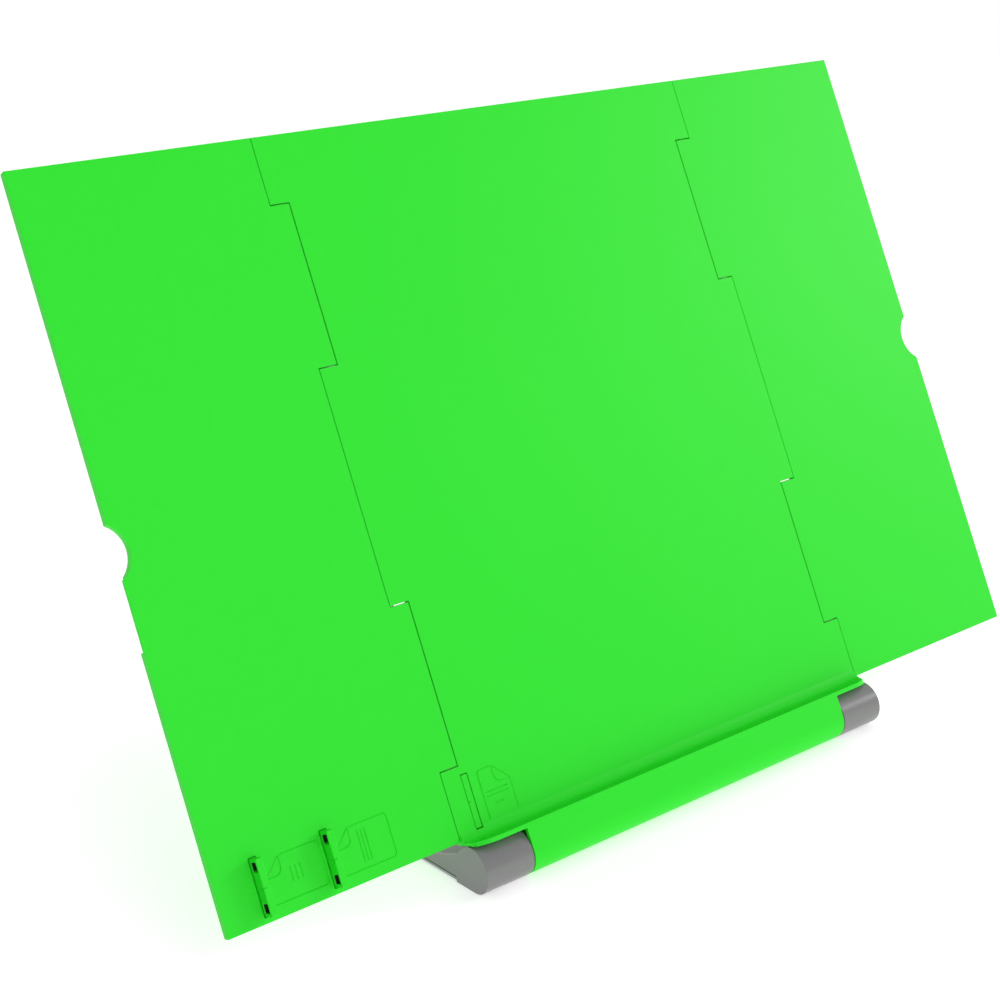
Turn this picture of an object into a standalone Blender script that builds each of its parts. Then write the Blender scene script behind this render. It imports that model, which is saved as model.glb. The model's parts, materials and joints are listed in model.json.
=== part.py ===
"""Collapsible backdrop panel: a three-leaf folding board on a friction-hinged base.

Millimetres in the constants, metres in the model, +Z up, +X along the board, and the
board's front faces -Y. The origin is on the table, under the middle of the object.
The board is drawn upright in its own frame, whose origin is the barrel axis, and the
empty "tilt_axis" leans it back. Depth is measured back from the board's front face
and height up from the leaves' lower edge.
"""
import math

import bmesh
import bpy
from mathutils import Matrix, Vector

MM = 0.001

# Fits
GAP = 0.3                    # between two pieces that touch
SEAM = 0.3                   # centre finger tip to leaf
SEAM_WIDE = 0.5              # leaf finger tip to centre
TURN_GAP = 0.5               # green barrel to grey barrel
INSIDE = 0.3                 # how far a joined shape reaches past or inside its neighbour
OVER = 1.0                   # how far a cutter reaches past what it cuts

# Board
WIDTH = 460.0
HEIGHT = 310.0
THICK = 4.0
SKIN = 2.2                   # front wall of a shell
COVER = 1.3                  # rear cover
LEAN = 21.0                  # degrees back from upright, at rest
LEAN_MOST = 45.0             # and leaned right back
FOLD_X = 115.7               # fold axis from the middle
FOLD_DEPTH = 7.0             # fold axis behind the front face
FINGER = 4.4                 # half the width of a hinge finger
STEP_LOW = 30.2              # finger steps, from the lower and the upper edge
STEP_MID = 102.6
POCKET_EDGE = 10.0           # solid border of the centre shell above its lower edge
CENTRE_POCKET = 103.0        # half width of the centre shell's pocket
LEAF_BORDER = 9.0            # solid border of a leaf shell
TOP_BORDER = 3.0

# Finger notches in the outer edges
NOTCH_CHORD = 22.5
NOTCH_DEPTH = 6.2
GRIP_LENGTH = 29.0           # undercut below each notch
GRIP_INSET = 1.6
GRIP_DEPTH = 1.6             # where the undercut starts, behind the front face

# Fold hinges
ROD_R = 1.0
KNUCKLE_R = 2.4
KNUCKLE_LONG = 14.0
KNUCKLE_ROOT = 1.0           # how deep a knuckle is set into its leaf
KNUCKLE_END = 2.0            # the end knuckles stop short of the board's edges
ROD_END = 4.0                # and the rods a little shorter still

# Ledge and barrel
AXIS_AHEAD = 1.6             # barrel axis in front of the front face
BARREL_UNDER = 2.35          # barrel's top below the leaves' lower edge
BARREL_R = 10.35
BARREL_WALL = 2.0
BARREL_HALF = 94.2           # half length of the green barrel
LEDGE_LIP = 0.25             # ledge's edge in front of the barrel
LEDGE_TOP = -1.0
LEDGE_UNDER = -3.0
FILLET_R = 5.5
ROOF = 0.8                   # barrel roof below the ledge
NECK = 0.9                   # neck below the roof
SPLIT_ANGLE = 250.0          # seam between barrel front and barrel cover

# Page stops: right face of each, from the middle of the board
STOP_RIGHT = {"letter": -107.95, "legal": -177.8, "a3": -210.0}
STOP_WIDTH = 3.0
STOP_LOW = 2.6
STOP_LENGTH = 23.4
STOP_TRAVEL = 6.2
STOP_ROOT = 2.0              # what stays in the slot when the stop is up
STOP_FOOT = 1.0              # foot's overhang at each end
STOP_FOOT_THICK = 0.7
STOP_SKIN = 1.0              # skin over the foot
WINDOW_LONG = 3.8
WINDOW_TALL = 4.2
WINDOW_DEEP = 1.8
WINDOW_TOP = 1.0             # below the stop's top
WINDOW_END = 1.5
CLIP_ROOM = 1.4              # room for the detent clip beside the bar
CLIP_THICK = 0.4
CLIP_LONG = 12.0
CLIP_FRONT = 1.8             # the clip's front edge, behind the front face
HOUSING_WALL = 1.1
HOUSING_FLOOR = 1.0

# Base
BASE_HALF = 119.3
BASE_REAR = 150.0            # rear end, behind the barrel axis
BEAM_REAR = 46.0             # rear of the front beam, ahead of where the leaves swing low
BLOCK_BEHIND = 3.15          # the housing's square rear, behind the barrel
BLOCK_ABOVE = 2.25           # and its top, above the barrel axis
BORE_WALL = 3.05
END_WALL = 2.0
RELIEF_NEAR = 108.0          # underside relief in each grey barrel
RELIEF_FAR = 115.0
RELIEF_TOP = 2.6
RELIEF_WALL = 3.0            # left behind the relief
RAIL_THICK = 3.2
RAIL_TOP = 5.0
SHOULDER_Y = 27.0
SHOULDER_TOP = 7.6
RAIL_DROP = 0.4              # rail's top below the housing's
FLANGE_WIDTH = 16.0
FOOT_PAD = 0.6
PLATE_THICK = 1.2
DECK_THICK = 2.1
REAR_BAR_DEEP = 16.0
REAR_BAR_TALL = 6.5
REAR_BAR_HALF = 104.0
SPINE_HALF = 9.0             # steel spine between the beam and the rear bar
SPINE_COVER_HALF = 6.5
PAD_SIZE = 13.0              # across a rubber foot
PAD_INSET = 24.0             # its middle from the end of the beam or bar over it
BAR_SCREW_X = 60.0
SCREW_R = 1.2
SCREW_HOLE_R = 1.5
SCREW_HEAD_R = 2.4
SCREW_HEAD = 0.35
SCREW_INSET = 8.0
SCREW_END = 0.7              # plastic left over a screw's end

# Friction hinges
SHAFT_R = 2.6
SHAFT_INNER = 83.0
SHAFT_OUTER = 114.5
CARTRIDGE_ROOM = 0.4         # radial room in the bore
CARTRIDGE_INNER = 98.0
CARTRIDGE_OUTER = 113.0
BUSH_ROOM = 0.7
BUSH_LONG = 1.8
CLAMP_LONG = 8.0

ROUND = 40                   # sides of a round piece
MID_ROUND = 24
SMALL_ROUND = 16
ARC = 12                     # steps in an ordinary arc
LONG_ARC = 24
SHORT_ARC = 6

# Worked out from the above
PLATE_LOW = FOOT_PAD + GAP
PLATE_TOP = PLATE_LOW + PLATE_THICK
DECK_LOW = PLATE_TOP + GAP
DECK_TOP = DECK_LOW + DECK_THICK
AXIS_DROP = BARREL_R + BARREL_UNDER
LEDGE_DEPTH = AXIS_AHEAD + BARREL_R + LEDGE_LIP
BARREL_Y = -(BASE_REAR - BARREL_R) / 2
BLOCK_REAR = BARREL_R + BLOCK_BEHIND
BLOCK_TOP = BARREL_R + BLOCK_ABOVE
BORE_R = BARREL_R - BORE_WALL
CARTRIDGE_R = BORE_R - CARTRIDGE_ROOM
BUSH_R = BORE_R - BUSH_ROOM
HOUSING_BACK = STOP_TRAVEL + STOP_ROOT + GAP + HOUSING_FLOOR

GREEN = (0.055, 0.76, 0.055)
GREY = (0.36, 0.36, 0.36)


# ---------------------------------------------------------------- scene and helpers

def clear_scene():
    for obj in list(bpy.data.objects):
        bpy.data.objects.remove(obj, do_unlink=True)


def new_collection(name):
    found = bpy.data.collections.new(name)
    bpy.context.scene.collection.children.link(found)
    return found


def finish_material(name, colour, roughness, metallic=0.0):
    made = bpy.data.materials.new(name)
    made.use_nodes = True
    shader = made.node_tree.nodes["Principled BSDF"]
    shader.inputs["Base Color"].default_value = (*colour, 1.0)
    shader.inputs["Roughness"].default_value = roughness
    shader.inputs["Metallic"].default_value = metallic
    return made


def add_empty(name, place, parent=None, lean=0.0):
    made = bpy.data.objects.new(name, None)
    made.location = Vector(place) * MM
    made.rotation_euler = (math.radians(-lean), 0.0, 0.0)
    made.parent = parent
    PARTS.objects.link(made)
    return made


def add_object(name, mesh, parent, material):
    """Link a mesh as a part, or as a hidden cutter when it has no material.

    A leaf's pieces are drawn in the board frame and carried by the empty on its fold axis.
    """
    made = bpy.data.objects.new(name, mesh)
    made.parent = parent
    if parent is not None and parent.parent is not None:
        made.matrix_parent_inverse = Matrix.Translation(-parent.location)
    if material is None:
        CUTTERS.objects.link(made)
        made.hide_render = True
        made.display_type = "WIRE"
    else:
        PARTS.objects.link(made)
        mesh.materials.append(material)
    return made


def mesh_from(bm, name):
    bmesh.ops.recalc_face_normals(bm, faces=bm.faces)
    mesh = bpy.data.meshes.new(name)
    bm.to_mesh(mesh)
    bm.free()
    mesh.shade_smooth()
    mesh.set_sharp_from_angle(angle=math.radians(30.0))
    return mesh


def block(name, low, high, parent=None, material=None):
    """An upright box between two corners."""
    low, high = Vector(low) * MM, Vector(high) * MM
    bm = bmesh.new()
    bmesh.ops.create_cube(bm, size=1.0)
    bmesh.ops.scale(bm, vec=high - low, verts=bm.verts)
    bmesh.ops.translate(bm, vec=(low + high) / 2, verts=bm.verts)
    return add_object(name, mesh_from(bm, name), parent, material)


AXES = {"X": Matrix.Rotation(math.radians(90.0), 4, "Y"), "Z": Matrix.Identity(4)}


def rod(name, axis, radius, start, end, centre, parent=None, material=None, sides=ROUND):
    """A cylinder along X or Z from start to end; centre gives the other two places."""
    bm = bmesh.new()
    bmesh.ops.create_cone(bm, cap_ends=True, segments=sides, radius1=radius * MM,
                          radius2=radius * MM, depth=(end - start) * MM)
    bmesh.ops.transform(bm, matrix=AXES[axis], verts=bm.verts)
    middle = (start + end) / 2
    place = (middle, *centre) if axis == "X" else (*centre, middle)
    bmesh.ops.translate(bm, vec=Vector(place) * MM, verts=bm.verts)
    return add_object(name, mesh_from(bm, name), parent, material)


# Columns: where an outline's own x, y and thickness directions go.
PLANES = {
    "X": Matrix(((0, 0, 1), (1, 0, 0), (0, 1, 0))).to_4x4(),
    "Y": Matrix(((1, 0, 0), (0, 0, -1), (0, 1, 0))).to_4x4(),
    "Z": Matrix.Identity(4),
}


def sheet(name, loops, axis, low, high, parent=None, material=None):
    """Closed outlines (the first the outside, the others holes) thickened along an axis."""
    curve = bpy.data.curves.new(name, "CURVE")
    curve.dimensions = "2D"
    curve.fill_mode = "BOTH"
    curve.extrude = (high - low) / 2 * MM
    for loop in loops:
        spline = curve.splines.new("POLY")
        spline.points.add(len(loop) - 1)
        for point, (x, y) in zip(spline.points, loop):
            point.co = (x * MM, y * MM, 0.0, 1.0)
        spline.use_cyclic_u = True
    drawn = bpy.data.objects.new(name + "_outline", curve)
    CUTTERS.objects.link(drawn)
    bpy.context.view_layer.update()
    depsgraph = bpy.context.evaluated_depsgraph_get()
    raw = bpy.data.meshes.new_from_object(drawn.evaluated_get(depsgraph))
    bpy.data.objects.remove(drawn, do_unlink=True)
    bm = bmesh.new()
    bm.from_mesh(raw)
    bmesh.ops.remove_doubles(bm, verts=bm.verts, dist=0.00001)
    bmesh.ops.dissolve_limit(bm, angle_limit=math.radians(0.1), verts=bm.verts, edges=bm.edges)
    middle = (low + high) / 2
    shift = {"X": (middle, 0, 0), "Y": (0, middle, 0), "Z": (0, 0, middle)}[axis]
    bmesh.ops.transform(bm, matrix=PLANES[axis], verts=bm.verts)
    bmesh.ops.translate(bm, vec=Vector(shift) * MM, verts=bm.verts)
    return add_object(name, mesh_from(bm, name), parent, material)


def arc(centre, radius, start, end, steps):
    """Points along an arc, angles in degrees."""
    points = []
    for step in range(steps + 1):
        angle = math.radians(start + (end - start) * step / steps)
        points.append((centre[0] + radius * math.cos(angle), centre[1] + radius * math.sin(angle)))
    return points


# The steps on the two sides of these outlines are in line, which leaves the exact solver
# with flat triangles across them.
SOLVERS = {"centre_front_shell": "MANIFOLD", "base_plate": "MANIFOLD"}


def boolean(target, tool, operation):
    modifier = target.modifiers.new(tool.name, "BOOLEAN")
    modifier.operation = operation
    modifier.object = tool
    modifier.solver = SOLVERS.get(target.name, "EXACT")


def cut(target, *tools):
    for tool in tools:
        boolean(target, tool, "DIFFERENCE")


def join(target, *tools):
    for tool in tools:
        boolean(target, tool, "UNION")


# ---------------------------------------------------------------- board frame

def board_y(depth):
    """Board-frame Y of a depth behind the front face."""
    return depth + AXIS_AHEAD


def board_z(height):
    """Board-frame Z of a height above the leaves' lower edge."""
    return height + AXIS_DROP


def board_block(name, x, depth, height, parent, material=None):
    """A box given by its ranges along the board, behind its face and up it."""
    low = (min(x), board_y(min(depth)), board_z(min(height)))
    high = (max(x), board_y(max(depth)), board_z(max(height)))
    return block(name, low, high, parent, material)


def steps():
    """The heights at which the fold line steps in and out."""
    return (STEP_LOW, STEP_MID, HEIGHT - STEP_MID, HEIGHT - STEP_LOW)


def centre_outline():
    """Centre board with a finger at the bottom, the middle and the top of each side."""
    out = FOLD_X + FINGER
    inn = FOLD_X - FINGER - SEAM_WIDE
    one, two, three, four = steps()
    ease = SEAM_WIDE / 2
    right = [(out, LEDGE_UNDER + INSIDE), (out, one - ease), (inn, one - ease), (inn, two + ease),
             (out, two + ease), (out, three - ease), (inn, three - ease), (inn, four + ease),
             (out, four + ease), (out, HEIGHT)]
    left = [(-x, z) for x, z in reversed(right)]
    return [(x, board_z(z)) for x, z in right + left]


def leaf_outline(side):
    """A leaf with two fingers towards the middle and a notch in its outer edge."""
    root = FOLD_X + FINGER + SEAM
    tip = FOLD_X - FINGER
    one, two, three, four = steps()
    ease = SEAM_WIDE / 2
    points = [(root, HEIGHT), (root, four - ease), (tip, four - ease), (tip, three + ease),
              (root, three + ease), (root, two - ease), (tip, two - ease), (tip, one + ease),
              (root, one + ease), (root, 0.0), (WIDTH / 2, 0.0)]
    points += notch_points()
    points.append((WIDTH / 2, HEIGHT))
    return [(side * x, board_z(z)) for x, z in points]


def notch_circle():
    """Centre distance and radius of the circle that cuts a notch."""
    half = NOTCH_CHORD / 2
    radius = (half * half + NOTCH_DEPTH * NOTCH_DEPTH) / (2 * NOTCH_DEPTH)
    return WIDTH / 2 + radius - NOTCH_DEPTH, radius


def notch_points():
    centre, radius = notch_circle()
    reach = math.degrees(math.asin(NOTCH_CHORD / 2 / radius))
    return arc((centre, HEIGHT / 2), radius, 180.0 + reach, 180.0 - reach, ARC)


def knuckle_outline(side):
    """Section of a hinge knuckle on the fold axis, with the bore for the rod."""
    x = side * FOLD_X
    y = board_y(FOLD_DEPTH)
    root = board_y(THICK - KNUCKLE_ROOT)
    outside = [(x + KNUCKLE_R, root)] + arc((x, y), KNUCKLE_R, 0.0, 180.0, ARC)
    outside.append((x - KNUCKLE_R, root))
    bore = arc((x, y), ROD_R + GAP, 0.0, 360.0, SMALL_ROUND)[:-1]
    return [outside, bore]


def knuckles(name, side, spans, parent):
    """One cutter-like operand for each knuckle span, to be joined to a shell."""
    made = []
    for index, (low, high) in enumerate(spans):
        made.append(sheet(f"{name}_{index}", knuckle_outline(side), "Z",
                          board_z(low), board_z(high), parent))
    return made


def centre_spans():
    one, two, three, four = steps()
    return ((KNUCKLE_END, one - SEAM_WIDE), (two + SEAM_WIDE, two + KNUCKLE_LONG),
            (three - KNUCKLE_LONG, three - SEAM_WIDE), (four + SEAM_WIDE, HEIGHT - KNUCKLE_END))


def leaf_spans():
    one, two, three, four = steps()
    return ((one + SEAM_WIDE, one + KNUCKLE_LONG), (two - KNUCKLE_LONG, two - SEAM_WIDE),
            (three + SEAM_WIDE, three + KNUCKLE_LONG), (four - KNUCKLE_LONG, four - SEAM_WIDE))


# ---------------------------------------------------------------- centre board

def barrel_section():
    """Front half of the barrel with its roof under the ledge, in section (depth, height)."""
    axis = (-AXIS_AHEAD, -AXIS_DROP)
    roof = (LEDGE_TOP + LEDGE_UNDER) / 2
    roof_under = LEDGE_UNDER - ROOF
    front = -LEDGE_DEPTH + INSIDE
    points = [(front, roof)]
    points += arc(axis, BARREL_R, 180.0, SPLIT_ANGLE, ARC)
    points += arc(axis, BARREL_R - BARREL_WALL, SPLIT_ANGLE, 180.0, ARC)
    points += [(front + BARREL_WALL, roof_under), (INSIDE, roof_under),
               (INSIDE, roof_under - NECK), (THICK - 2 * INSIDE, roof_under - NECK),
               (THICK - 2 * INSIDE, roof)]
    return [(board_y(d), board_z(h)) for d, h in points]


def fillet_section():
    """The hollow curve from the board's face on to the ledge, all but its thin ends."""
    points = [(INSIDE, LEDGE_TOP + FILLET_R)]
    points += arc((-FILLET_R, LEDGE_TOP + FILLET_R), FILLET_R, -15.0, -85.0, SHORT_ARC)
    points += [(-FILLET_R, LEDGE_TOP - INSIDE), (INSIDE, LEDGE_TOP - INSIDE)]
    return [(board_y(d), board_z(h)) for d, h in points]


def ledge_outline():
    """Plan of the ledge, its front corners rounded back to the ends of the centre board."""
    out = FOLD_X + FINGER - INSIDE
    corner = arc((out - LEDGE_DEPTH, 0.0), LEDGE_DEPTH, 0.0, -90.0, ARC)
    right = [(out, THICK - INSIDE)] + corner
    left = [(-x, d) for x, d in reversed(right)]
    return [(x, board_y(d)) for x, d in right + left]


def housing_points(grow):
    """Side view of a barrel housing about the barrel axis, round in front and square behind."""
    radius = BARREL_R + grow
    rear = BLOCK_REAR + grow
    top = BLOCK_TOP - BARREL_R + grow
    start = math.degrees(math.atan2(top, rear) + math.acos(radius / math.hypot(rear, top)))
    return arc((0.0, 0.0), radius, start, 270.0, LONG_ARC) + [(rear, -radius), (rear, top)]


def housing_room():
    """The housing as the board meets it when leaned right back, with room to turn."""
    turn = math.radians(LEAN_MOST)
    return [(y * math.cos(turn) - z * math.sin(turn), y * math.sin(turn) + z * math.cos(turn))
            for y, z in housing_points(TURN_GAP)]


def make_centre():
    shell = sheet("centre_front_shell", [centre_outline()], "Y", board_y(0.0), board_y(THICK),
                  TILT, GREEN_PLASTIC)
    end = FOLD_X + FINGER
    plan = ledge_outline()
    fillet = sheet("ledge_fillet", [fillet_section()], "X", -end, end, TILT)
    boolean(fillet, sheet("ledge_plan", [plan], "Z", board_z(LEDGE_UNDER),
                          board_z(LEDGE_TOP + FILLET_R + OVER), TILT), "INTERSECT")
    join(shell,
         sheet("ledge_plate", [plan], "Z", board_z(LEDGE_UNDER), board_z(LEDGE_TOP), TILT),
         fillet,
         sheet("barrel_front", [barrel_section()], "X", -BARREL_HALF, BARREL_HALF, TILT))
    for side, word in ((-1, "left"), (1, "right")):
        join(shell, *knuckles(f"centre_knuckle_{word}", side, centre_spans(), TILT))
    cut(shell, board_block("centre_pocket", (-CENTRE_POCKET, CENTRE_POCKET), (SKIN, THICK + OVER),
                           (POCKET_EDGE, HEIGHT - TOP_BORDER), TILT))
    for side, word in ((-1, "left"), (1, "right")):
        near, far = side * BARREL_HALF, side * (end + OVER)
        low, high = min(near, far), max(near, far)
        cut(shell,
            rod(f"grey_barrel_room_{word}", "X", BARREL_R + TURN_GAP, low, high, (0.0, 0.0), TILT),
            sheet(f"housing_room_{word}", [housing_room()], "X", low, high, TILT))
    cut_stop_slot(shell, "letter", TILT)
    board_block("centre_rear_cover", (-CENTRE_POCKET + GAP, CENTRE_POCKET - GAP),
                (THICK - COVER, THICK), (POCKET_EDGE + GAP, HEIGHT - TOP_BORDER - GAP), TILT,
                GREEN_PLASTIC)
    for side, word in ((-1, "left"), (1, "right")):
        rod(f"{word}_fold_rod", "Z", ROD_R, board_z(ROD_END), board_z(HEIGHT - ROD_END),
            (side * FOLD_X, board_y(FOLD_DEPTH)), TILT, STEEL, SMALL_ROUND)


def make_barrel_cover():
    """Rear half of the green barrel, from behind the neck round to the front shell."""
    turn = math.degrees(math.asin((GAP / 2) / BARREL_R)) * 2
    neck = math.degrees(math.acos((THICK + AXIS_AHEAD + GAP) / BARREL_R))
    start = SPLIT_ANGLE - 360.0 + turn
    points = arc((0.0, 0.0), BARREL_R, start, neck, LONG_ARC)
    points += arc((0.0, 0.0), BARREL_R - BARREL_WALL, neck, start, LONG_ARC)
    sheet("barrel_rear_cover", [points], "X", -BARREL_HALF, BARREL_HALF, TILT, GREEN_PLASTIC)


# ---------------------------------------------------------------- leaves

def make_leaf(side, word, parent):
    shell = sheet(f"{word}_leaf_front_shell", [leaf_outline(side)], "Y", board_y(0.0),
                  board_y(THICK), parent, GREEN_PLASTIC)
    join(shell, *knuckles(f"leaf_knuckle_{word}", side, leaf_spans(), parent))
    inner = side * (FOLD_X + FINGER + LEAF_BORDER)
    outer = side * (WIDTH / 2 - LEAF_BORDER)
    cut(shell,
        board_block(f"{word}_leaf_pocket", (inner, outer), (SKIN, THICK + OVER),
                    (TOP_BORDER, HEIGHT - TOP_BORDER), parent),
        board_block(f"{word}_leaf_grip", (side * (WIDTH / 2 - GRIP_INSET), side * WIDTH),
                    (GRIP_DEPTH, THICK + OVER),
                    (HEIGHT / 2 - NOTCH_CHORD / 2 - GRIP_LENGTH, HEIGHT / 2), parent))
    cover = board_block(f"{word}_leaf_rear_cover", (inner + side * GAP, outer - side * GAP),
                        (THICK - COVER, THICK), (TOP_BORDER + GAP, HEIGHT - TOP_BORDER - GAP),
                        parent, GREEN_PLASTIC)
    return shell, cover


def make_leaves():
    make_leaf(1, "right", RIGHT_FOLD)
    shell, cover = make_leaf(-1, "left", LEFT_FOLD)
    for kind in ("legal", "a3"):
        cut_stop_slot(shell, kind, LEFT_FOLD)
        right = STOP_RIGHT[kind]
        cut(cover, board_block(f"{kind}_cover_opening",
                               (right - STOP_WIDTH - GAP, right + CLIP_ROOM),
                               (0.0, THICK + OVER), foot_span(GAP), LEFT_FOLD))


# ---------------------------------------------------------------- page stops

def foot_span(room):
    """Height range of a stop's foot, with room added at both ends."""
    low = STOP_LOW - STOP_FOOT - room
    return low, STOP_LOW + STOP_LENGTH + STOP_FOOT + room


def cut_stop_slot(shell, kind, parent):
    right = STOP_RIGHT[kind]
    left = right - STOP_WIDTH
    cut(shell,
        board_block(f"{kind}_slot", (left - GAP, right + GAP), (-OVER, THICK + OVER),
                    (STOP_LOW - GAP, STOP_LOW + STOP_LENGTH + GAP), parent),
        board_block(f"{kind}_foot_room", (left - GAP, right + CLIP_ROOM), (STOP_SKIN, THICK + OVER),
                    foot_span(GAP), parent))


def stop_outline(top):
    """Side view of a stop (depth, height): a bar with a longer foot at its root."""
    root = top + STOP_TRAVEL + STOP_ROOT
    neck = root - STOP_FOOT_THICK
    low, high = STOP_LOW, STOP_LOW + STOP_LENGTH
    foot_low, foot_high = foot_span(0.0)
    points = [(top, low), (neck, low), (neck, foot_low), (root, foot_low), (root, foot_high),
              (neck, foot_high), (neck, high), (top, high)]
    return [(board_y(d), board_z(h)) for d, h in points]


def make_stop(kind, top, parent):
    """A pop-up bar, its housing behind the board, its detent clip and two screws."""
    right = STOP_RIGHT[kind]
    left = right - STOP_WIDTH
    bar = sheet(f"{kind}_page_stop", [stop_outline(top)], "X", left, right, parent, GREEN_PLASTIC)
    for place, low in (("low", STOP_LOW + WINDOW_END),
                       ("high", STOP_LOW + STOP_LENGTH - WINDOW_END - WINDOW_LONG)):
        cut(bar, board_block(f"{kind}_window_{place}", (left - OVER, left + WINDOW_DEEP),
                             (top + WINDOW_TOP, top + WINDOW_TOP + WINDOW_TALL),
                             (low, low + WINDOW_LONG), parent))
    low, high = foot_span(GAP)
    housing = board_block(f"{kind}_stop_housing",
                          (left - GAP - HOUSING_WALL, right + CLIP_ROOM + HOUSING_WALL),
                          (THICK + GAP, HOUSING_BACK), (low - HOUSING_WALL, high + HOUSING_WALL),
                          parent, GREEN_PLASTIC)
    cut(housing, board_block(f"{kind}_housing_room", (left - GAP, right + CLIP_ROOM),
                             (0.0, HOUSING_BACK - HOUSING_FLOOR), (low, high), parent))
    middle = STOP_LOW + STOP_LENGTH / 2
    clip_left = right + GAP
    board_block(f"{kind}_detent_clip", (clip_left, clip_left + CLIP_THICK),
                (CLIP_FRONT, HOUSING_BACK - HOUSING_FLOOR - GAP),
                (middle - CLIP_LONG / 2, middle + CLIP_LONG / 2), parent, STEEL)


def make_stops():
    make_stop("letter", 0.0, TILT)
    make_stop("legal", -STOP_TRAVEL, LEFT_FOLD)
    make_stop("a3", -STOP_TRAVEL, LEFT_FOLD)


# ---------------------------------------------------------------- base

def from_axis(y, z):
    """World Y and Z of a point given behind the barrel axis and above the table."""
    return y + BARREL_Y, z


def rail_outline():
    """Side view of the rail: a shoulder behind the housing, falling to the beam's rear."""
    points = [(BLOCK_REAR - OVER, DECK_LOW), (BEAM_REAR, DECK_LOW), (BEAM_REAR, RAIL_TOP),
              (SHOULDER_Y, SHOULDER_TOP),
              (BLOCK_REAR, BLOCK_TOP - RAIL_DROP), (BLOCK_REAR - OVER, BLOCK_TOP - RAIL_DROP)]
    return [from_axis(y, z) for y, z in points]


def make_arm(side, word):
    inner = side * (BARREL_HALF + TURN_GAP)
    outer = side * BASE_HALF
    profile = [from_axis(y, z + BARREL_R) for y, z in housing_points(0.0)]
    arm = sheet(f"{word}_side_arm", [profile], "X", min(inner, outer), max(inner, outer), None,
                GREY_PLASTIC)
    rail = outer - side * RAIL_THICK
    join(arm, sheet(f"{word}_rail", [rail_outline()], "X", min(rail, outer - side * GAP),
                    max(rail, outer - side * GAP)))
    flange = outer - side * FLANGE_WIDTH
    hold = (flange, outer - side * OVER)
    join(arm, block(f"{word}_flange", (min(hold), BARREL_Y + BLOCK_REAR - OVER, DECK_LOW),
                    (max(hold), BARREL_Y + BEAM_REAR, DECK_TOP)))
    bore_end = outer - side * END_WALL
    far = inner - side * OVER
    cut(arm, rod(f"{word}_bore", "X", BORE_R, min(far, bore_end), max(far, bore_end),
                 (BARREL_Y, BARREL_R)))
    relief = (side * RELIEF_NEAR, side * RELIEF_FAR)
    cut(arm, block(f"{word}_relief", (min(relief), BARREL_Y - BARREL_R, -OVER),
                   (max(relief), BARREL_Y + BLOCK_REAR - RELIEF_WALL, RELIEF_TOP)))
    return arm


def screw_places():
    """Base screws: two in each arm and two in the rear bar."""
    x = BASE_HALF - FLANGE_WIDTH / 2
    places = []
    for word, side in (("left", -1), ("right", 1)):
        places.append((f"{word}_front_screw", side * x, BLOCK_REAR + SCREW_INSET, word))
        places.append((f"{word}_rear_screw", side * x, BEAM_REAR - SCREW_INSET, word))
        places.append((f"{word}_bar_screw", side * BAR_SCREW_X,
                       BASE_REAR - REAR_BAR_DEEP / 2, "bar"))
    return places


def plate_outline():
    """Plan of the steel plate: a front beam, a narrow spine and a rear bar."""
    bar_front = BASE_REAR - REAR_BAR_DEEP
    right = [(BASE_HALF, BLOCK_REAR + GAP), (BASE_HALF, BEAM_REAR), (SPINE_HALF, BEAM_REAR),
             (SPINE_HALF, bar_front), (REAR_BAR_HALF, bar_front), (REAR_BAR_HALF, BASE_REAR)]
    left = [(-x, y) for x, y in reversed(right)]
    return [(x, y + BARREL_Y) for x, y in right + left]


def make_base():
    arms = {"left": make_arm(-1, "left"), "right": make_arm(1, "right")}
    deck_half = BASE_HALF - FLANGE_WIDTH - GAP
    beam_rear = BARREL_Y + BEAM_REAR
    bar_front = BARREL_Y + BASE_REAR - REAR_BAR_DEEP
    block("front_beam", (-deck_half, BARREL_Y + BLOCK_REAR, DECK_LOW),
          (deck_half, beam_rear, DECK_TOP), None, GREY_PLASTIC)
    block("spine_cover", (-SPINE_COVER_HALF, beam_rear + GAP, DECK_LOW),
          (SPINE_COVER_HALF, bar_front - GAP, DECK_TOP), None, GREY_PLASTIC)
    arms["bar"] = block("rear_bar", (-REAR_BAR_HALF, bar_front, DECK_LOW),
                        (REAR_BAR_HALF, BARREL_Y + BASE_REAR, DECK_LOW + REAR_BAR_TALL), None,
                        GREY_PLASTIC)
    plate = sheet("base_plate", [plate_outline()], "Z", PLATE_LOW, PLATE_TOP, None, PLATE_STEEL)
    for name, x, y, owner in screw_places():
        place = (x, y + BARREL_Y)
        hole = rod(f"{name}_hole", "Z", SCREW_HOLE_R, PLATE_LOW - OVER,
                   DECK_TOP - SCREW_END + GAP, place, sides=SMALL_ROUND)
        cut(plate, hole)
        cut(arms[owner], hole)
        make_screw(name, place)
    make_pads()


def make_screw(name, place):
    """A low flat head under the base plate with a plain shank up into the moulding."""
    head_top = PLATE_LOW - GAP / 3
    screw = rod(name, "Z", SCREW_HEAD_R, head_top - SCREW_HEAD, head_top, place, None, STEEL,
                SMALL_ROUND)
    join(screw, rod(f"{name}_shank", "Z", SCREW_R, head_top - SCREW_HEAD / 2,
                    DECK_TOP - SCREW_END, place, sides=SMALL_ROUND))


def make_pads():
    ends = (("front", BASE_HALF, (BLOCK_REAR + BEAM_REAR) / 2),
            ("rear", REAR_BAR_HALF, BASE_REAR - REAR_BAR_DEEP / 2))
    for end, half, y in ends:
        for word, side in (("left", -1), ("right", 1)):
            rod(f"{end}_{word}_foot", "Z", PAD_SIZE / 2, 0.0, FOOT_PAD,
                (side * (half - PAD_INSET), y + BARREL_Y), None, RUBBER, MID_ROUND)


# ---------------------------------------------------------------- friction hinges

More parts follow.
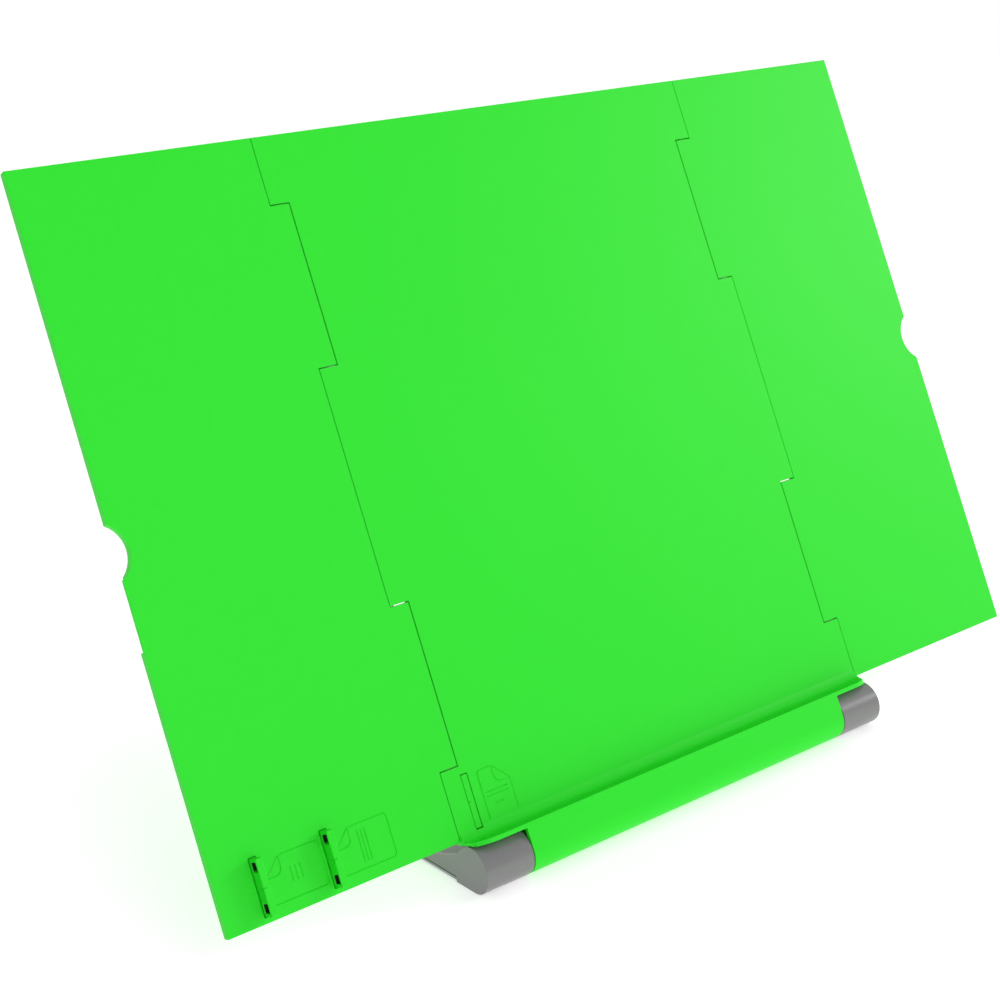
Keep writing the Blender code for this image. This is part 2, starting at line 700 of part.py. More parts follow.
def make_hinge(side, word):
    """Friction cartridge held in the grey barrel, its shaft clamped in the green one."""
    def span(near, far):
        return min(side * near, side * far), max(side * near, side * far)

    low, high = span(CARTRIDGE_INNER, CARTRIDGE_OUTER)
    cartridge = rod(f"{word}_friction_cartridge", "X", CARTRIDGE_R, low, high,
                    (BARREL_Y, BARREL_R), None, STEEL)
    cut(cartridge, rod(f"{word}_cartridge_bore", "X", SHAFT_R + GAP, low - OVER, high + OVER,
                       (BARREL_Y, BARREL_R), sides=MID_ROUND))
    low, high = span(BARREL_HALF + TURN_GAP + GAP, BARREL_HALF + TURN_GAP + GAP + BUSH_LONG)
    bush = rod(f"{word}_bush", "X", BUSH_R, low, high, (BARREL_Y, BARREL_R), None, NYLON)
    cut(bush, rod(f"{word}_bush_bore", "X", SHAFT_R + GAP, low - OVER, high + OVER,
                  (BARREL_Y, BARREL_R), sides=MID_ROUND))
    low, high = span(SHAFT_INNER, SHAFT_OUTER)
    rod(f"{word}_hinge_shaft", "X", SHAFT_R, low, high, (0.0, 0.0), TILT, STEEL, MID_ROUND)
    low, high = span(BARREL_HALF - CLAMP_LONG, BARREL_HALF - GAP)
    clamp = rod(f"{word}_shaft_clamp", "X", BARREL_R - BARREL_WALL - GAP, low, high, (0.0, 0.0),
                TILT, GREEN_PLASTIC)
    cut(clamp, rod(f"{word}_clamp_bore", "X", SHAFT_R + GAP, low - OVER, high + OVER, (0.0, 0.0),
                   TILT, sides=MID_ROUND))


# ---------------------------------------------------------------- build

clear_scene()
PARTS = new_collection("collapsible_backdrop_panel")
CUTTERS = new_collection("cutters")
GREEN_PLASTIC = finish_material("green_plastic", GREEN, 0.5)
GREY_PLASTIC = finish_material("grey_plastic", GREY, 0.45)
PLATE_STEEL = finish_material("painted_steel", (0.30, 0.30, 0.30), 0.45, 0.4)
STEEL = finish_material("bright_steel", (0.62, 0.62, 0.63), 0.3, 1.0)
NYLON = finish_material("nylon", (0.8, 0.79, 0.75), 0.5)
RUBBER = finish_material("rubber", (0.03, 0.03, 0.03), 0.85)

TILT = add_empty("tilt_axis", (0.0, BARREL_Y, BARREL_R), None, LEAN)
LEFT_FOLD = add_empty("left_fold_axis", (-FOLD_X, board_y(FOLD_DEPTH), board_z(0.0)), TILT)
RIGHT_FOLD = add_empty("right_fold_axis", (FOLD_X, board_y(FOLD_DEPTH), board_z(0.0)), TILT)

make_centre()
make_barrel_cover()
make_leaves()
make_stops()
make_base()
make_hinge(-1, "left")
make_hinge(1, "right")
bpy.context.view_layer.update()
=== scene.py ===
"""A three-leaf folding easel board in green plastic, on a grey foot with friction hinges.

Sizes are in millimetres unless a line says otherwise. Places on the board are given as
x along it, depth behind its front face, and height up from the leaves' lower edge.
"""
import json
import math

import bmesh
import bpy
from mathutils import Matrix, Vector


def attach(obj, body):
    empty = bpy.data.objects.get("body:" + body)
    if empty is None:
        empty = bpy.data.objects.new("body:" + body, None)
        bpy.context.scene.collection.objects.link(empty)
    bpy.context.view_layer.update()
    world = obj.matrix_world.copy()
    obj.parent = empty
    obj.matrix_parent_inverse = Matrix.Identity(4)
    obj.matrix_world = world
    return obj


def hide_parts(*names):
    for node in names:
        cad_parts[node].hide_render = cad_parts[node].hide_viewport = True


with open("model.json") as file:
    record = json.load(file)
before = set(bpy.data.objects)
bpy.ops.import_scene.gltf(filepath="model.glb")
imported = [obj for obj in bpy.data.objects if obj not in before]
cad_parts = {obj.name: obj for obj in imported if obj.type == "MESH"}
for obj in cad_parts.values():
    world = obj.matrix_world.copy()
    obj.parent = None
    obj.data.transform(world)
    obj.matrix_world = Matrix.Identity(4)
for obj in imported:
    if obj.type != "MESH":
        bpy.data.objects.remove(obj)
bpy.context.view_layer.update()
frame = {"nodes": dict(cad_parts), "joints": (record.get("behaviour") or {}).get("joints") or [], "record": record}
MM = 0.001


# ---------------------------------------------------------------- the table and the light
# The easel stands on a white acrylic table lit faintly from below, in soft studio light: a
# room white behind the easel and dimmer in front and above, with a lamp in front of it and
# a weaker one on each side.

class Shade:
    """A shader socket. Sums and products of these add Math nodes to the material."""

    def __init__(self, tree, socket=None):
        self.tree = tree
        self.socket = socket

    def node(self, kind, settings, sockets, output=0):
        made = self.tree.nodes.new(kind)
        for name, value in settings.items():
            if name == "stops":
                ramp = made.color_ramp
                for stop, (place, colour) in zip(ramp.elements, value):
                    stop.position = place
                    stop.color = colour
            else:
                setattr(made, name, value)
        for name, value in sockets.items():
            if isinstance(value, Shade):
                self.tree.links.new(value.socket, made.inputs[name])
            else:
                made.inputs[name].default_value = value
        return Shade(self.tree, made.outputs[output])

    def math(self, operation, first, second):
        return self.node("ShaderNodeMath", {"operation": operation}, {0: first, 1: second})

    def __add__(self, other):
        return self.math("ADD", self, other)

    def __sub__(self, other):
        return self.math("SUBTRACT", self, other)

    def __rsub__(self, other):
        return self.math("SUBTRACT", other, self)

    def __mul__(self, other):
        return self.math("MULTIPLY", self, other)

    __radd__ = __add__
    __rmul__ = __mul__


def new_material(name, roughness, metallic=0.0):
    """An empty principled material: its start for node chains, and its shader's inputs."""
    made = bpy.data.materials.new(name)
    made.use_nodes = True
    inputs = made.node_tree.nodes["Principled BSDF"].inputs
    inputs["Roughness"].default_value = roughness
    inputs["Metallic"].default_value = metallic
    return made, Shade(made.node_tree), inputs


def feed(inputs, name, value):
    value.tree.links.new(value.socket, inputs[name])


TABLE_METRES = 8.0
TABLE_GLOW = 0.42
WHITE = (1.0, 1.0, 1.0, 1.0)
TABLE_PALE = (0.95, 0.95, 0.95, 1.0)
TABLE_DULL = (0.92, 0.92, 0.92, 1.0)
acrylic, start, inputs = new_material("pale_table", 0.7)
grain = start.node("ShaderNodeTexNoise", {}, {"Scale": 9.0, "Detail": 3.0})
feed(inputs, "Base Color", start.node("ShaderNodeMix", {"data_type": "RGBA"},
                                      {0: grain, 6: TABLE_DULL, 7: TABLE_PALE}, 2))
inputs["Emission Color"].default_value = WHITE
inputs["Emission Strength"].default_value = TABLE_GLOW
bpy.ops.mesh.primitive_plane_add(size=TABLE_METRES)
table = bpy.context.object
table.name = "table"
table.data.materials.append(acrylic)

# The room brightens towards the back and the right, and darkens upward. The two places are
# where along that sum it leaves its darkest and reaches white.
ROOM_FRONT = 0.3
ROOM_RIGHT = 0.8
ROOM_UP = 0.6
ROOM_SPREAD = 0.35
ROOM_DARK_UNTIL = 0.185
ROOM_WHITE_FROM = 0.57
world = bpy.data.worlds.new("white_room")
world.use_nodes = True
room = Shade(world.node_tree)
way = room.node("ShaderNodeTexCoord", {}, {}, "Generated")
facing = (room.node("ShaderNodeSeparateXYZ", {}, {0: way}, "Y")
          + room.node("ShaderNodeSeparateXYZ", {}, {0: way}, "X") * ROOM_RIGHT
          - room.node("ShaderNodeSeparateXYZ", {}, {0: way}, "Z") * ROOM_UP)
wall = room.node("ShaderNodeValToRGB", {"stops": ((ROOM_DARK_UNTIL, (*[ROOM_FRONT] * 3, 1.0)),
                                                  (ROOM_WHITE_FROM, WHITE))},
                 {"Fac": facing * ROOM_SPREAD + 0.5}, "Color")
feed(world.node_tree.nodes["Background"].inputs, "Color", wall)
bpy.context.scene.world = world
bpy.context.scene.view_settings.view_transform = "Standard"


def lamp(name, place, target, size, watts):
    """A square soft box in metres, turned to face the target."""
    light = bpy.data.lights.new(name, "AREA")
    light.size = size
    light.energy = watts
    made = bpy.data.objects.new(name, light)
    bpy.context.scene.collection.objects.link(made)
    made.location = place
    made.rotation_euler = (Vector(target) - Vector(place)).to_track_quat("-Z", "Y").to_euler()


LAMP_TARGET = (0.0, 0.0, 0.15)
# Place, size and power of each.
LAMPS = {"key_light": ((-0.4, -2.4, 1.15), 1.2, 22.0),
         "right_gloss": ((2.0, -1.0, 0.9), 0.6, 14.0),
         "left_fill": ((-2.0, -0.8, 0.5), 1.0, 3.0)}
for name, (place, size, watts) in LAMPS.items():
    lamp(name, place, LAMP_TARGET, size, watts)

CAMERA_PLACE = (-0.4896, -0.6312, 0.3705)
CAMERA_PAN = 35.58
CAMERA_DOWN = 15.24
CAMERA_ROLL = 4.77
camera_data = bpy.data.cameras.new("camera")
camera_data.lens = 64.1
camera_data.sensor_width = 36.0
camera_data.shift_y = -0.042
camera = bpy.data.objects.new("camera", camera_data)
bpy.context.scene.collection.objects.link(camera)
camera.matrix_world = (Matrix.Translation(CAMERA_PLACE)
                       @ Matrix.Rotation(math.radians(-CAMERA_PAN), 4, "Z")
                       @ Matrix.Rotation(math.radians(90.0 - CAMERA_DOWN), 4, "X")
                       @ Matrix.Rotation(math.radians(-CAMERA_ROLL), 4, "Z"))
bpy.context.scene.camera = camera


# ---------------------------------------------------------------- green moulded shells
# The three leaves are injection moulded in bright green ABS. Each is a front shell with a
# flat rear cover pressed into it; the centre one carries the ledge and half the barrel.
# Outer edges have a small radius, and half of it on the centre and left shells.

bodies = frame["record"]["behaviour"]["bodies"]
BODY_OF = {node: body for body, nodes in bodies.items() for node in nodes}
SHARP = math.radians(32.0)              # edges that turn by more than this get a radius
CREASE = math.radians(40.0)             # and by more than this, stay sharp in the shading
MERGE = 0.000001                        # metres
FLAT = math.radians(0.3)                # faces that turn by less than this become one
ROOM_FOR_RADIUS = 3.0                   # radii that an edge and its faces must be able to hold
FOLD_ALLOWED = 1.0002


def stand_in(piece, node):
    """The piece takes a CAD solid's place, body and finish."""
    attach(piece, BODY_OF[node])
    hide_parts(node)


def add_piece(name, bm, material):
    mesh = bpy.data.meshes.new(name)
    bm.to_mesh(mesh)
    bm.free()
    mesh.shade_smooth()
    mesh.materials.append(material)
    piece = bpy.data.objects.new(name, mesh)
    bpy.context.scene.collection.objects.link(piece)
    return piece


def moulded_plastic(name, colour, dark_colour, roughness, sheen):
    """Satin plastic from a spark-eroded tool: a fine even grain and faint flow marks."""
    made, start, inputs = new_material(name, roughness)
    place = start.node("ShaderNodeTexCoord", {}, {}, "Object")
    flow = start.node("ShaderNodeTexNoise", {}, {"Vector": place, "Scale": 6.0, "Detail": 2.0})
    grain = start.node("ShaderNodeTexNoise", {}, {"Vector": place, "Scale": 1900.0, "Detail": 2.0})
    tone = start.node("ShaderNodeMix", {"data_type": "RGBA"},
                      {0: flow * 0.6 + grain * 0.4, 6: (*dark_colour, 1.0), 7: (*colour, 1.0)}, 2)
    feed(inputs, "Base Color", tone)
    feed(inputs, "Roughness", roughness - 0.06 + grain * 0.12)
    bump = start.node("ShaderNodeBump", {}, {"Height": grain, "Strength": 0.15,
                                             "Distance": 0.00008})
    feed(inputs, "Normal", bump)
    inputs["Specular IOR Level"].default_value = sheen
    return made


def settle(piece):
    """Bake the piece's cuts and radii, then let the broad faces rule the shading."""
    bpy.context.view_layer.update()
    depsgraph = bpy.context.evaluated_depsgraph_get()
    mesh = bpy.data.meshes.new_from_object(piece.evaluated_get(depsgraph))
    piece.modifiers.clear()
    piece.data = mesh
    mesh.shade_smooth()
    mesh.set_sharp_from_angle(angle=CREASE)
    shading = piece.modifiers.new("shading", "WEIGHTED_NORMAL")
    shading.keep_sharp = True
    shading.weight = 100


# Shares of the radius asked for, and whether it is held back to what fits.
TRIES = ((1.0, False), (0.5, False), (0.25, False), (1.0, True))


def folds_over(mesh):
    """Whether some faces, once cut into triangles, cover more than their own area."""
    bm = bmesh.new()
    bm.from_mesh(mesh)
    flat = sum(face.calc_area() for face in bm.faces)
    bmesh.ops.triangulate(bm, faces=bm.faces)
    cut = sum(face.calc_area() for face in bm.faces)
    bm.free()
    return cut > flat * FOLD_ALLOWED


def refined(node, material, radius, segments=2):
    """A finer piece in a CAD solid's place, with a radius on each edge that has room.

    Where full radii would run into each other, smaller ones are tried, and then the full one
    held back to what fits.
    """
    bm = bmesh.new()
    bm.from_mesh(frame["nodes"][node].data)
    bmesh.ops.remove_doubles(bm, verts=bm.verts, dist=MERGE)
    bmesh.ops.dissolve_limit(bm, angle_limit=FLAT, verts=bm.verts, edges=bm.edges)
    room = ROOM_FOR_RADIUS * radius * MM
    weight = bm.edges.layers.float.new("bevel_weight_edge")
    for edge in bm.edges:
        widths = [face.calc_area() / max(side.calc_length() for side in face.edges)
                  for face in edge.link_faces]
        turned_sharp = edge.calc_face_angle(0.0) > SHARP
        edge[weight] = float(turned_sharp and min(widths) > room and edge.calc_length() > room)
    piece = add_piece(node + "_piece", bm, material)
    sharp_mesh = piece.data
    for share, held_back in TRIES:
        piece.modifiers.clear()
        piece.data = sharp_mesh
        bevel = piece.modifiers.new("edges", "BEVEL")
        bevel.limit_method = "WEIGHT"
        bevel.width = radius * share * MM
        bevel.segments = segments
        bevel.use_clamp_overlap = held_back
        settle(piece)
        if not folds_over(piece.data):
            break
    stand_in(piece, node)
    return piece


GREEN = (0.016, 0.72, 0.016)
GREEN_DARK = (0.012, 0.67, 0.012)
GREEN_ROUGH = 0.5
GREEN_SHEEN = 0.3
SHELL_RADIUS = 0.22
green = moulded_plastic("green_abs", GREEN, GREEN_DARK, GREEN_ROUGH, GREEN_SHEEN)
shells = {node: refined(node, green, SHELL_RADIUS)
          for node in ("centre_front_shell", "left_leaf_front_shell", "right_leaf_front_shell")}

# ---------------------------------------------------------------- page marks
# Beside each page stop the tool leaves the outline of a sheet, lying or upright, with one
# corner turned over and a few ruled lines. They are ball-nosed grooves in the face.

mounts = {mount["name"]: mount for mount in frame["record"]["mounts"]}
joints = {joint["name"]: joint for joint in frame["joints"]}
BOARD_UP = Vector(joints["right_fold"]["axis"])
BOARD_BACK = BOARD_UP.cross(Vector((1.0, 0.0, 0.0)))
BOARD_TALL = 310.0
board_foot = Vector(mounts["board_face"]["pos_m"]) - BOARD_UP * BOARD_TALL / 2 * MM
BOARD = Matrix.Translation(board_foot) @ Matrix(
    ((1.0, BOARD_BACK.x, BOARD_UP.x), (0.0, BOARD_BACK.y, BOARD_UP.y),
     (0.0, BOARD_BACK.z, BOARD_UP.z))).to_4x4()
GROOVE_R = 0.33
PAGE_CORNER = 1.6
FOLD = 7.5
FOLD_CURVE = 3.0
PAGE_FOOT = 5.0              # a sheet drawn lower than this runs out into the ledge's curve


def corner(centre, radius, start, end, steps=6):
    """Points round an arc on the board's face, angles in degrees."""
    angles = [math.radians(start + (end - start) * n / steps) for n in range(steps + 1)]
    return [(centre[0] + radius * math.cos(a), centre[1] + radius * math.sin(a)) for a in angles]


def groove_cutter(name, points, closed=False):
    """A round cutter along points given as x, depth and height on the board."""
    curve = bpy.data.curves.new(name, "CURVE")
    curve.dimensions = "3D"
    curve.bevel_depth = GROOVE_R * MM
    curve.bevel_resolution = 2
    curve.use_fill_caps = True
    spline = curve.splines.new("POLY")
    spline.points.add(len(points) - 1)
    for point, place in zip(spline.points, points):
        point.co = (*(BOARD @ (Vector(place) * MM)), 1.0)
    spline.use_cyclic_u = closed
    drawn = bpy.data.objects.new(name, curve)
    bpy.context.scene.collection.objects.link(drawn)
    bpy.context.view_layer.update()
    depsgraph = bpy.context.evaluated_depsgraph_get()
    bm = bmesh.new()
    bm.from_mesh(bpy.data.meshes.new_from_object(drawn.evaluated_get(depsgraph)))
    bpy.data.objects.remove(drawn)
    bmesh.ops.remove_doubles(bm, verts=bm.verts, dist=0.00001)
    bmesh.ops.recalc_face_normals(bm, faces=bm.faces)
    return add_piece(name, bm, green)


def engrave(piece, cutters):
    piece.modifiers.clear()
    for cutter in cutters:
        boolean = piece.modifiers.new(cutter.name, "BOOLEAN")
        boolean.operation = "DIFFERENCE"
        boolean.solver = "EXACT"
        boolean.object = cutter
    settle(piece)
    for cutter in cutters:
        bpy.data.objects.remove(cutter)


def page_paths(near, far, low, high):
    """Outline, turned corner and its crease for a sheet whose turned corner is at near."""
    way = 1.0 if far > near else -1.0
    edge = near + way * FOLD
    quarter = 0.0 if way > 0 else 180.0
    inner = far - way * PAGE_CORNER
    outline = [(edge + way * GROOVE_R * 2, high)]
    outline += corner((inner, high - PAGE_CORNER), PAGE_CORNER, 90.0, quarter)
    if low > PAGE_FOOT:
        outline += corner((inner, low + PAGE_CORNER), PAGE_CORNER, -quarter, -90.0)
        outline += corner((near + way * PAGE_CORNER, low + PAGE_CORNER), PAGE_CORNER,
                          -90.0, -180.0 + quarter)
        outline.append((near, high - FOLD))
    else:
        outline.append((far, low))
    crease = [(edge, high)]
    crease += corner((edge - way * FOLD_CURVE, high - FOLD + FOLD_CURVE), FOLD_CURVE,
                     quarter, -90.0 + 2.0 * quarter)
    crease.append((near, high - FOLD))
    near_side = [[(near, high - FOLD), (near, low)]] if low < PAGE_FOOT else []
    return [outline, crease, [(edge, high), (near, high - FOLD)]] + near_side


# Sheet: the turned corner's side, the far side, bottom and top, and the shell it is cut in.
PAGES = {"a3": (-208.5, -182.5, 5.3, 23.5, "left_leaf_front_shell"),
         "legal": (-176.3, -150.3, 5.3, 23.5, "left_leaf_front_shell"),
         "letter": (-88.1, -103.2, 4.3, 25.5, "centre_front_shell")}
# Ruled lines on each sheet: the two ends of each, x and height.
LINES = {"a3": [((x, 11.6), (x, 17.7)) for x in (-197.2, -195.0, -192.8)],
         "legal": [((x, 7.8), (x, 21.0)) for x in (-164.9, -163.2, -161.5)],
         "letter": [((-101.5, 15.4), (-90.3, 15.4)), ((-101.5, 13.5), (-90.3, 13.5)),
                    ((-98.3, 9.9), (-94.2, 9.9))]}
for kind, (near, far, low, high, node) in PAGES.items():
    paths = page_paths(near, far, low, high) + LINES[kind]
    engrave(shells[node], [groove_cutter(f"{kind}_mark_{index}", [(x, 0.0, z) for x, z in path])
                           for index, path in enumerate(paths)])

# ---------------------------------------------------------------- rear covers
# The flat covers close the shells from behind, flush with their rims. Each has a moulded
# line a little way in from its edge, which hides any sink over the rim.

COVER_LINE = 5.0             # from the cover's edge
COVER_CORNER = 4.0
COVER_RADIUS = 0.25
BOARD_THICK = 4.0


def board_span(node, axis):
    """The lowest and highest place of a CAD solid along the board, behind it or up it."""
    to_board = BOARD.inverted()
    places = [(to_board @ v.co)[axis] / MM for v in frame["nodes"][node].data.vertices]
    return min(places), max(places)


for node in ("centre_rear_cover", "left_leaf_rear_cover", "right_leaf_rear_cover"):
    cover = refined(node, green, COVER_RADIUS)
    left, right = (x + way for x, way in zip(board_span(node, 0), (COVER_LINE, -COVER_LINE)))
    low, high = (z + way for z, way in zip(board_span(node, 2), (COVER_LINE, -COVER_LINE)))
    if node == "left_leaf_rear_cover":
        low = board_span("a3_stop_housing", 2)[1] + COVER_LINE
    r = COVER_CORNER
    line = corner((right - r, high - r), r, 90.0, 0.0) + corner((right - r, low + r), r, 0.0, -90.0)
    line += corner((left + r, low + r), r, -90.0, -180.0)
    line += corner((left + r, high - r), r, 180.0, 90.0)
    engrave(cover, [groove_cutter(node + "_line", [(x, BOARD_THICK, z) for x, z in line], True)])
refined("barrel_rear_cover", green, COVER_RADIUS)

# ---------------------------------------------------------------- page stops
# A stop is a slim green bar that a finger pushes in flush or pops out to hold a sheet's
# edge. Its outer side has two windows, their faces painted near black as painted shade for
# the dark recesses, and, half way, the mark of the detent.

STOP_RADIUS = 0.35
DETENT_STEM = 2.6            # down the side from the stop's top, and on to the top
DETENT_ACROSS = 1.3
DETENT_BAR = 1.5             # half the cross bar's length
DETENT_BAR_DOWN = 1.1        # from the stop's top
WINDOW_END = 1.5             # from the stop's end to its window
WINDOW_LONG = 4.2
WINDOW_TOP = 1.0
WINDOW_DEEP = 1.8
INSIDE = 0.1                 # slack for telling a window's own faces from the bar's
# Near-black green for the windows' faces: painted shade standing in for the dark recesses.
WINDOW_SHADE_TONE = (0.010, 0.030, 0.010)
WINDOW_SHADE_DARK = (0.007, 0.020, 0.007)
dark_insert = moulded_plastic("dark_insert", WINDOW_SHADE_TONE, WINDOW_SHADE_DARK, 0.6, GREEN_SHEEN)
for kind in ("letter", "legal", "a3"):
    node = kind + "_page_stop"
    stop = refined(node, green, STOP_RADIUS, segments=3)
    side = board_span(node, 0)[0]
    top = board_span(node, 1)[0]
    middle = sum(board_span(node, 2)) / 2
    stem = [(side, top + DETENT_STEM, middle), (side, top, middle),
            (side + DETENT_ACROSS, top, middle)]
    bar = [(side, top + DETENT_BAR_DOWN, middle + way * DETENT_BAR) for way in (-1, 1)]
    engrave(stop, [groove_cutter(kind + "_detent_stem", stem),
                   groove_cutter(kind + "_detent_bar", bar)])
    # The faces inside each window get the painted shade.
    stop.data.materials.append(dark_insert)
    half = (board_span(node, 2)[1] - board_span(node, 2)[0]) / 2
    for face in stop.data.polygons:
        x, depth, height = BOARD.inverted() @ face.center / MM
        from_end = half - abs(height - middle)
        if (WINDOW_END - INSIDE < from_end < WINDOW_END + WINDOW_LONG + INSIDE
                and depth > top + WINDOW_TOP - INSIDE
                and 3 * INSIDE < x - side < WINDOW_DEEP + INSIDE):
            face.material_index = 1

# ---------------------------------------------------------------- stop housings and clips
# Behind each stop a small green box guides it. Inside, a bowed strip of spring steel
# presses on the bar and drops into its detents.

def bright_metal(name, colour, roughness, streaks):
    """Plated or ground steel: fine streaks and slight patches in the shine."""
    made, start, inputs = new_material(name, roughness, 1.0)
    place = start.node("ShaderNodeTexCoord", {}, {}, "Object")
    stretched = start.node("ShaderNodeVectorMath", {"operation": "MULTIPLY"},
                           {0: place, 1: streaks})
    fine = start.node("ShaderNodeTexNoise", {}, {"Vector": stretched, "Scale": 900.0,
                                                 "Detail": 3.0})
    patch = start.node("ShaderNodeTexNoise", {}, {"Vector": place, "Scale": 120.0})
    dark = tuple(0.85 * part for part in colour)
    tone = start.node("ShaderNodeMix", {"data_type": "RGBA"},
                      {0: patch, 6: (*dark, 1.0), 7: (*colour, 1.0)}, 2)
    feed(inputs, "Base Color", tone)
    feed(inputs, "Roughness", roughness - 0.08 + fine * 0.16)
    feed(inputs, "Normal", start.node("ShaderNodeBump", {}, {"Height": fine, "Strength": 0.1,
                                                            "Distance": 0.00003}))
    return made


spring_steel = bright_metal("spring_steel", (0.56, 0.55, 0.53), 0.34, (1.0, 1.0, 0.15))
HOUSING_RADIUS = 0.3
CLIP_BOW = 0.25
CLIP_STEPS = 16
for kind in ("letter", "legal", "a3"):
    refined(kind + "_stop_housing", green, HOUSING_RADIUS)
    node = kind + "_detent_clip"
    (x_low, x_high), (front, back), (low, high) = (board_span(node, axis) for axis in range(3))
    bm = bmesh.new()
    rows = []
    for step in range(CLIP_STEPS + 1):
        share = step / CLIP_STEPS
        x = (x_low + x_high) / 2 - CLIP_BOW * math.sin(math.pi * share)
        height = low + (high - low) * share
        rows.append([bm.verts.new(BOARD @ (Vector((x, depth, height)) * MM))
                     for depth in (front, back)])
    for lower, upper in zip(rows, rows[1:]):
        bm.faces.new((lower[0], lower[1], upper[1], upper[0]))
    clip = add_piece(node + "_piece", bm, spring_steel)
    strip = clip.modifiers.new("strip", "SOLIDIFY")
    strip.thickness = (x_high - x_low) * MM
    strip.offset = 0.0
    stand_in(clip, node)

# ---------------------------------------------------------------- hinge rods and shafts
# Turned parts: a ground steel rod in each fold hinge, and in each barrel a shaft held by a
# stack of friction clips, with a nylon bush and a green collar that keys it to the board.

def round_place(node, axis):
    """Where a round CAD solid starts on its axis, and its length, radius and bore."""
    side = axis.orthogonal().normalized()
    other = axis.cross(side)
    points = [v.co for v in frame["nodes"][node].data.vertices]
    ends, wide, deep = ((min(p.dot(way) for p in points), max(p.dot(way) for p in points))
                        for way in (axis, side, other))
    middle = side * sum(wide) / 2 + other * sum(deep) / 2
    reach = [(p - middle - axis * p.dot(axis)).length for p in points]
    return middle + axis * ends[0], (ends[1] - ends[0]) / MM, max(reach) / MM, min(reach) / MM


def turned(node, material, start, axis, profile, closed=False, steps=48):
    """A profile of (distance along the axis, radius) turned once round it."""
    side = axis.orthogonal().normalized()
    bm = bmesh.new()
    ring = [bm.verts.new(start + (axis * reach + side * radius) * MM) for reach, radius in profile]
    edges = [bm.edges.new(pair) for pair in zip(ring, ring[1:])]
    if closed:
        edges.append(bm.edges.new((ring[-1], ring[0])))
    bmesh.ops.spin(bm, geom=ring + edges, cent=start, axis=axis, angle=math.tau, steps=steps,
                   use_duplicate=False)
    bmesh.ops.remove_doubles(bm, verts=bm.verts, dist=0.000002)
    bmesh.ops.recalc_face_normals(bm, faces=bm.faces)
    piece = add_piece(node + "_piece", bm, material)
    piece.data.set_sharp_from_angle(angle=math.radians(35.0))
    stand_in(piece, node)
    return piece


def bar_profile(length, radius, chamfer):
    return [(0.0, 0.0), (0.0, radius - chamfer), (chamfer, radius), (length - chamfer, radius),
            (length, radius - chamfer), (length, 0.0)]


def sleeve_profile(length, radius, bore, chamfer):
    return [(chamfer, bore), (0.0, bore + chamfer), (0.0, radius - chamfer), (chamfer, radius),
            (length - chamfer, radius), (length, radius - chamfer), (length, bore + chamfer),
            (length - chamfer, bore)]


ALONG = Vector((1.0, 0.0, 0.0))
ROD_CHAMFER = 0.3
SHAFT_CHAMFER = 0.4
SLEEVE_CHAMFER = 0.3
CLIPS = 10                   # friction clips in a cartridge
CLIP_EASE = 0.22             # their rounded outer corners
ground_steel = bright_metal("ground_steel", (0.62, 0.62, 0.63), 0.28, (1.0, 1.0, 6.0))
nylon, start, inputs = new_material("natural_nylon", 0.45)
cloud = start.node("ShaderNodeTexNoise", {}, {"Scale": 300.0, "Detail": 2.0})
feed(inputs, "Base Color", start.node("ShaderNodeMix", {"data_type": "RGBA"}, {
    0: cloud, 6: (0.74, 0.73, 0.68, 1.0), 7: (0.82, 0.81, 0.77, 1.0)}, 2))
for word in ("left", "right"):
    place, length, radius, bore = round_place(word + "_fold_rod", BOARD_UP)
    turned(word + "_fold_rod", ground_steel, place, BOARD_UP,
           bar_profile(length, radius, ROD_CHAMFER))
    place, length, radius, bore = round_place(word + "_hinge_shaft", ALONG)
    turned(word + "_hinge_shaft", ground_steel, place, ALONG,
           bar_profile(length, radius, SHAFT_CHAMFER))
    for node, material in ((word + "_bush", nylon), (word + "_shaft_clamp", green)):
        place, length, radius, bore = round_place(node, ALONG)
        turned(node, material, place, ALONG, sleeve_profile(length, radius, bore, SLEEVE_CHAMFER),
               closed=True)
    node = word + "_friction_cartridge"
    place, length, radius, bore = round_place(node, ALONG)
    wide = length / CLIPS
    stack = [(0.0, bore)]
    for clip in range(CLIPS):
        near, far = clip * wide, (clip + 1) * wide
        stack += [(near, radius - CLIP_EASE), (near + CLIP_EASE, radius),
                  (far - CLIP_EASE, radius)]
    stack += [(length, radius - CLIP_EASE), (length, bore)]
    turned(node, spring_steel, place, ALONG, stack, closed=True)

# ---------------------------------------------------------------- grey foot
# The foot is moulded in mid-grey ABS: two arms whose round fronts carry on the line of the
# green barrel, a beam between them, and a spine back to a bar that keeps it from tipping.

GREY = (0.183, 0.176, 0.183)
GREY_DARK = (0.16, 0.153, 0.16)
GREY_ROUGH = 0.3
GREY_SHEEN = 0.8
FOOT_RADII = {"left_side_arm": 0.3, "right_side_arm": 0.3, "front_beam": 0.4,
              "spine_cover": 0.6, "rear_bar": 1.2}
grey = moulded_plastic("grey_abs", GREY, GREY_DARK, GREY_ROUGH, GREY_SHEEN)
for node, radius in FOOT_RADII.items():
    refined(node, grey, radius, segments=3)

# ---------------------------------------------------------------- steel sole
# A steel plate under the foot gives it weight. It is cut from sheet, powder coated grey, and
# screwed up into the foot from below.

sole_coat, start, inputs = new_material("grey_powder_coat", 0.5)
place = start.node("ShaderNodeTexCoord", {}, {}, "Object")
peel = start.node("ShaderNodeTexNoise", {}, {"Vector": place, "Scale": 700.0, "Detail": 1.0})
feed(inputs, "Base Color", start.node("ShaderNodeMix", {"data_type": "RGBA"}, {
    0: peel, 6: (0.27, 0.27, 0.275, 1.0), 7: (0.33, 0.33, 0.335, 1.0)}, 2))
feed(inputs, "Normal", start.node("ShaderNodeBump", {}, {"Height": peel, "Strength": 0.3,
                                                        "Distance": 0.0001}))
SOLE_RADIUS = 0.2
refined("base_plate", sole_coat, SOLE_RADIUS)

